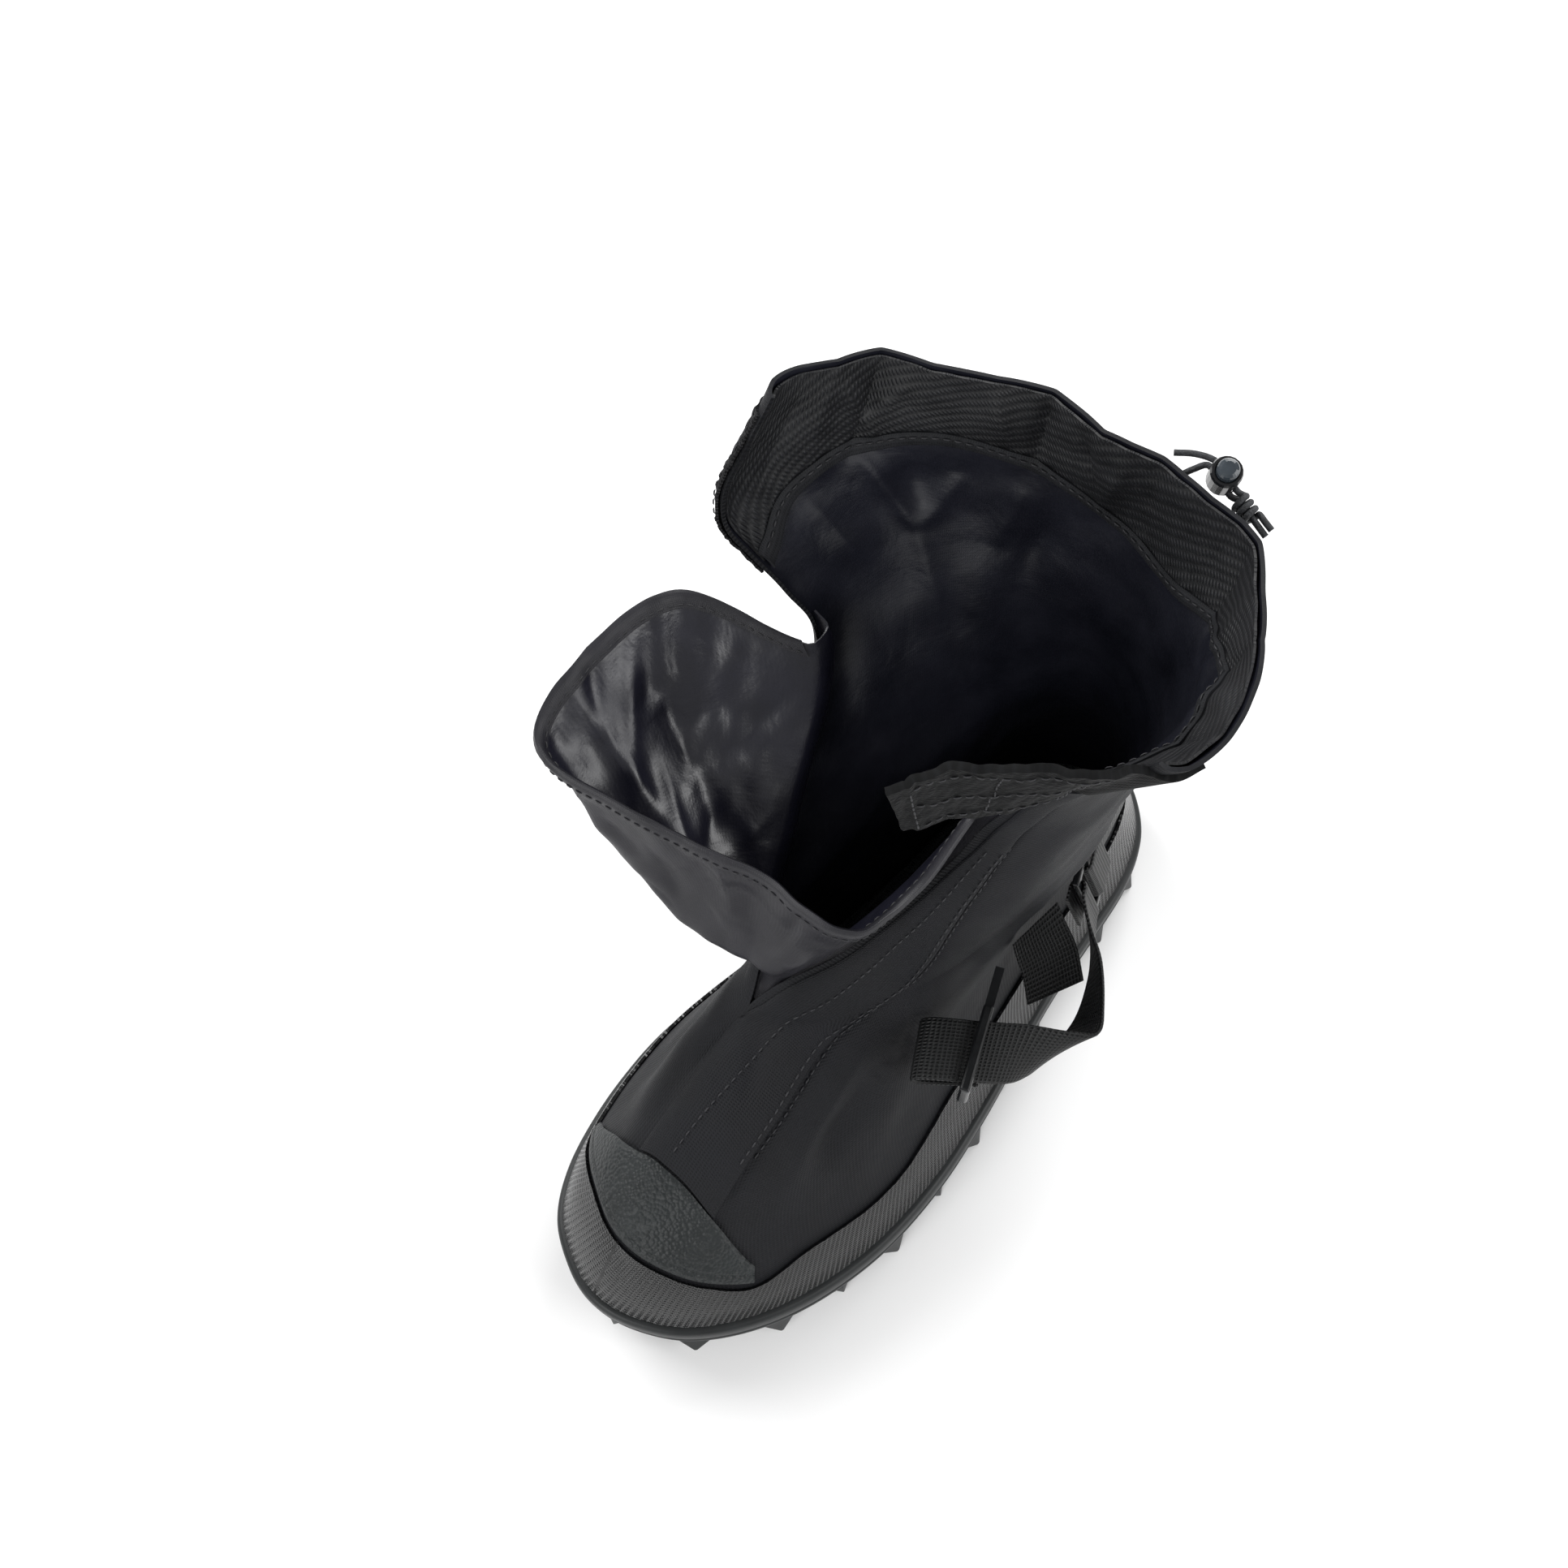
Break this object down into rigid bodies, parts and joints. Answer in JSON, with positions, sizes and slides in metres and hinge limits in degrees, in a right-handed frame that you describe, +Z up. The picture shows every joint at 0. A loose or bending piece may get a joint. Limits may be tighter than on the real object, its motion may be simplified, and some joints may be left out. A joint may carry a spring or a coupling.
{
  "type": "winter overshoe",
  "caption": "Tall fabric winter overshoe with a lugged rubber sole, rand, gusseted throat, closure flap, instep strap and drawcord collar.",
  "frame": {"origin": "centre of the whole shoe's bounding box, on the ground plane that the sole stands on", "axes": "+Z up, -Y toward the toe, +Y toward the heel, +X toward the outer (strap) side of the foot"},
  "size_m": [0.2128, 0.334, 0.3031],
  "materials": {
    "outsole": "matt moulded rubber",
    "upper": "matt coated shell nylon",
    "insole": "ribbed felt",
    "gusset": "thin coated nylon, glossy inside",
    "rand": "glossy rubber with a coarse weave pattern",
    "toe_cap": "grained rubber",
    "placket": "matt shell nylon",
    "collar_facing": "twill",
    "loop_patch": "frayed loop tape",
    "closure_flap": "padded nylon with hook tape",
    "instep_strap": "coarse webbing",
    "heel_strap": "coarse webbing",
    "ankle_strap": "coarse webbing",
    "strap_ring": "glossy moulded plastic ring",
    "buckle": "glossy moulded plastic",
    "cord_lock": "moulded plastic",
    "lock_button": "moulded plastic",
    "drawcord_a": "braided elastic cord",
    "drawcord_b": "braided elastic cord"
  },
  "bodies": {
    "shoe": {"outsole": "outsole", "upper": "upper", "insole": "insole", "gusset": "gusset", "rand": "rand", "toe_cap": "toe_cap", "placket": "placket", "collar_facing": "collar_facing", "loop_patch": "loop_patch", "closure_flap": "closure_flap", "instep_strap": "instep_strap", "heel_strap": "heel_strap", "ankle_strap": "ankle_strap", "strap_ring": "strap_ring", "buckle": "buckle", "cord_lock": "cord_lock", "drawcord_a": "drawcord_a", "drawcord_b": "drawcord_b"},
    "button": {"lock_button": "lock_button"}
  },
  "joints": [
    {"name": "button_press", "type": "slide", "parent": "shoe", "child": "button", "axis": [0.1603, -0.2606, 0.952], "range_m": [-0.0025, 0], "stiffness_N_per_m": 300, "springref_m": 0.002}
  ]
}
